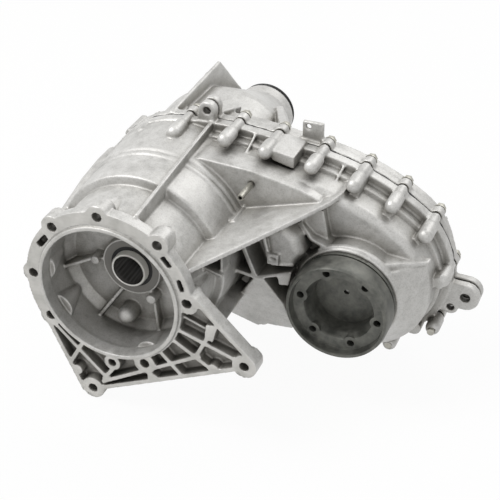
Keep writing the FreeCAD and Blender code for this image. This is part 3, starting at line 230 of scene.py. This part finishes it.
def ringed(name, inner, outer, edge_mm, metallic, roughness):
    """Two tones round the input axis, which is the Y axis: one inside a radius, the other outside it."""
    material, tree, shader, place = blank(name)
    across = add(tree, "ShaderNodeVectorMath", {0: place, 1: (1, 0, 1)}, operation="MULTIPLY")
    radius = add(tree, "ShaderNodeVectorMath", {0: across.outputs[0]}, operation="LENGTH")
    outside = add(tree, "ShaderNodeMath", {0: radius.outputs["Value"], 1: edge_mm * MM},
                  operation="GREATER_THAN")
    skin = add(tree, "ShaderNodeValToRGB", {"Fac": outside.outputs[0]}, stops=[(0.0, inner), (1.0, outer)])
    tree.links.new(skin.outputs["Color"], shader.inputs["Base Color"])
    shader.inputs["Metallic"].default_value = metallic
    shader.inputs["Roughness"].default_value = roughness
    return material


def dress(piece, *materials):
    """Gives a piece its materials."""
    piece.data.materials.clear()
    for material in materials:
        piece.data.materials.append(material)


for name, node in frame["nodes"].items():
    dress(node, FINISHES[slots[name]])
# Oil seal: a phosphated can, dull grey, round a wide black rubber lip
INPUT_SEAL = ringed("seal_with_steel_can", "#141414", "#75736F", edge_mm=24.0, metallic=0.3, roughness=0.48)
# Oiled gear steel with a bright ground end, and painted shade darkening the inside of the splined bore
SHAFT_END_WITH_PAINTED_BORE_SHADE = ringed("ground_shaft_end_with_painted_bore_shade", "#24221F", "#DAD9D4", edge_mm=17.25, metallic=0.45, roughness=0.4)


def merged_copy(name, label):
    """A copy of a CAD node's mesh with its loose triangles joined."""
    mesh = frame["nodes"][name].data.copy()
    shape = bmesh.new()
    shape.from_mesh(mesh)
    bmesh.ops.remove_doubles(shape, verts=shape.verts, dist=0.002 * MM)
    shape.to_mesh(mesh)
    shape.free()
    mesh.name = label
    piece = bpy.data.objects.new(label, mesh)
    bpy.context.scene.collection.objects.link(piece)
    return piece


def bake(piece):
    """Applies a piece's modifiers to its mesh."""
    graph = bpy.context.evaluated_depsgraph_get()
    mesh = bpy.data.meshes.new_from_object(piece.evaluated_get(graph))
    piece.modifiers.clear()
    piece.data = mesh


def even_copy(name, label, voxel_mm):
    """A copy of a CAD node with its surface in even little squares, fine enough to bend and round."""
    piece = merged_copy(name, label)
    remesh = piece.modifiers.new("skin", "REMESH")
    remesh.mode = "VOXEL"
    remesh.voxel_size = voxel_mm * MM
    bake(piece)
    return piece


def shade_round(piece):
    """Shades a piece's facets as one round surface."""
    for polygon in piece.data.polygons:
        polygon.use_smooth = True


def softness(point):
    """How much a casting's edge is rounded: a little at the milled adapter face, fully on the cast skin."""
    milled_depth_mm, milled_share = 1.2, 0.15
    return milled_share if point.y < milled_depth_mm * MM else 1.0


def cast_piece(name, label, voxel_mm, triangles, rounds):
    """A casting with rounded edges: the CAD shape remeshed, smoothed and thinned to so many triangles."""
    piece = even_copy(name, label, voxel_mm)
    soft = piece.vertex_groups.new(name="cast")
    for vertex in piece.data.vertices:
        soft.add([vertex.index], softness(vertex.co), "REPLACE")
    smooth = piece.modifiers.new("rounding", "SMOOTH")
    smooth.factor = 0.5
    smooth.iterations = rounds
    smooth.vertex_group = "cast"
    fewer = piece.modifiers.new("fewer", "DECIMATE")
    all_triangles = 2 * len(piece.data.polygons)
    fewer.ratio = triangles / all_triangles
    bake(piece)
    piece.vertex_groups.clear()
    shade_round(piece)
    dress(piece, CAST, MILLED)
    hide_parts(name)
    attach(piece, "case")
    return piece


def mill_adapter_face(casting):
    """Gives the flat front of the adapter, at y 0, the second of the casting's finishes."""
    deepest_mm, facing_front = 0.5, -0.97
    for polygon in casting.data.polygons:
        if polygon.normal.y < facing_front and polygon.center.y < deepest_mm * MM:
            polygon.material_index = 1


def smooth_piece(name, body, edge_mm=0.0, finish=None):
    """A turned or pressed piece with its facets shaded round and, with edge_mm, its edges broken."""
    piece = merged_copy(name, name + "_finished")
    broken_above, sharp_above = math.radians(40), math.radians(32)
    if edge_mm:
        edge = piece.modifiers.new("edge", "BEVEL")
        edge.width = edge_mm * MM
        edge.segments = 2
        edge.profile = 0.5
        edge.limit_method = "ANGLE"
        edge.angle_limit = broken_above
        bake(piece)
    shade_round(piece)
    piece.data.set_sharp_from_angle(angle=sharp_above)
    dress(piece, finish or FINISHES[slots[name]])
    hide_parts(name)
    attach(piece, body)


def sealant_bead():
    """Cured sealant that was squeezed out unevenly round the split of the case."""
    bead = even_copy("case_gasket", "sealant_bead", voxel_mm=0.8)
    # In lumps, the bead swells by middle_mm, give or take up to swing_mm, and sinks no deeper than sunk_mm
    lump_mm, middle_mm, swing_mm, sunk_mm = 9, 0.5, 1.4, 0.2
    normals = [vertex.normal.copy() for vertex in bead.data.vertices]
    for vertex, normal in zip(bead.data.vertices, normals):
        swell = middle_mm + swing_mm * noise.noise(vertex.co / (lump_mm * MM))
        vertex.co += normal * max(-sunk_mm, swell) * MM
    shade_round(bead)
    dress(bead, FINISHES["sealant"])
    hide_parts("case_gasket")
    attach(bead, "case")


mill_adapter_face(cast_piece("front_case", "front_casting", voxel_mm=1.05, triangles=195000, rounds=5))
cast_piece("rear_case", "rear_casting", voxel_mm=1.4, triangles=160000, rounds=4)
sealant_bead()
smooth_piece("front_output_flange", "front_output", edge_mm=0.6)
smooth_piece("flange_dust_shield", "front_output")
smooth_piece("flange_nut", "front_output", edge_mm=0.5)
smooth_piece("input_shaft", "input", finish=SHAFT_END_WITH_PAINTED_BORE_SHADE)
smooth_piece("input_seal", "case", finish=INPUT_SEAL)
smooth_piece("breather_tube", "case")
smooth_piece("output_shaft", "main_output")
smooth_piece("rear_output_seal", "case")


def lamp(label, place, size, power):
    """A square soft light turned towards the middle of the case."""
    middle = (0.11, 0.2, -0.01)
    light = bpy.data.lights.new(label, "AREA")
    light.shape = "SQUARE"
    light.size = size
    light.energy = power
    holder = bpy.data.objects.new(label, light)
    holder.location = place
    holder.rotation_euler = (Vector(middle) - Vector(place)).to_track_quat("-Z", "Y").to_euler()
    bpy.context.scene.collection.objects.link(holder)


def seen_directly(tree):
    """Gives 1 to rays from the camera or a glossy surface, and 0 to the rays that light the object."""
    path = add(tree, "ShaderNodeLightPath")
    direct = add(tree, "ShaderNodeMath", {0: path.outputs["Is Camera Ray"], 1: path.outputs["Is Glossy Ray"]},
                 operation="MAXIMUM")
    return direct.outputs[0]


def studio_world(strength):
    """A world that is seen as white and lights the object at the given strength."""
    world = bpy.data.worlds.new("studio")
    bpy.context.scene.world = world
    world.use_nodes = True
    tree = world.node_tree
    tree.nodes.clear()
    ambient = add(tree, "ShaderNodeBackground", {"Color": WHITE, "Strength": strength})
    white = add(tree, "ShaderNodeBackground", {"Color": WHITE, "Strength": 1.0})
    mix = add(tree, "ShaderNodeMixShader",
              {0: seen_directly(tree), 1: ambient.outputs[0], 2: white.outputs[0]})
    add(tree, "ShaderNodeOutputWorld", {"Surface": mix.outputs[0]})


def paper(glow_share):
    """Matt white paper that keeps a shadow, and is seen nearly as bright as the world behind it."""
    material = bpy.data.materials.new("matt_paper_sweep")
    material.use_nodes = True
    tree = material.node_tree
    tree.nodes.clear()
    matt = add(tree, "ShaderNodeBsdfDiffuse", {"Color": colour("#F0F0EF")})
    glow = add(tree, "ShaderNodeEmission", {"Color": WHITE, "Strength": 1.0})
    share = add(tree, "ShaderNodeMath", {0: seen_directly(tree), 1: glow_share}, operation="MULTIPLY")
    mix = add(tree, "ShaderNodeMixShader", {0: share.outputs[0], 1: matt.outputs[0], 2: glow.outputs[0]})
    add(tree, "ShaderNodeOutputMaterial", {"Surface": mix.outputs[0]})
    return material


def paper_floor(size, gap_mm):
    """A flat paper floor, a hair below the lowest point of the object."""
    middle_x, middle_y = 0.1, 0.2
    shape = bmesh.new()
    bmesh.ops.create_grid(shape, x_segments=1, y_segments=1, size=size)
    mesh = bpy.data.meshes.new("floor")
    shape.to_mesh(mesh)
    shape.free()
    floor = bpy.data.objects.new("floor", mesh)
    bpy.context.scene.collection.objects.link(floor)
    floor.location = (middle_x, middle_y, cad_box[0][2] - gap_mm * MM)
    mesh.materials.append(paper(glow_share=0.95))


def photo_camera(place, direction, lens_mm):
    """The camera at the photograph's viewing angle."""
    lens = bpy.data.cameras.new("camera")
    lens.lens = lens_mm
    lens.sensor_width = 36.0
    camera = bpy.data.objects.new("camera", lens)
    camera.location = place
    camera.rotation_euler = Vector(direction).to_track_quat("-Z", "Y").to_euler()
    bpy.context.scene.collection.objects.link(camera)
    bpy.context.scene.camera = camera


lamp("key", (-0.95, -0.25, 1.7), size=1.1, power=29)
lamp("side", (1.2, -1.6, 0.7), size=1.4, power=4)
lamp("back", (0.6, 1.5, 1.5), size=1.2, power=12)
studio_world(strength=0.36)
paper_floor(size=6.0, gap_mm=0.2)
photo_camera(place=(0.540291, -0.945102, 0.760428), direction=(-0.315218, 0.774681, -0.548185),
             lens_mm=93.286)
bpy.context.scene.view_settings.view_transform = "Standard"
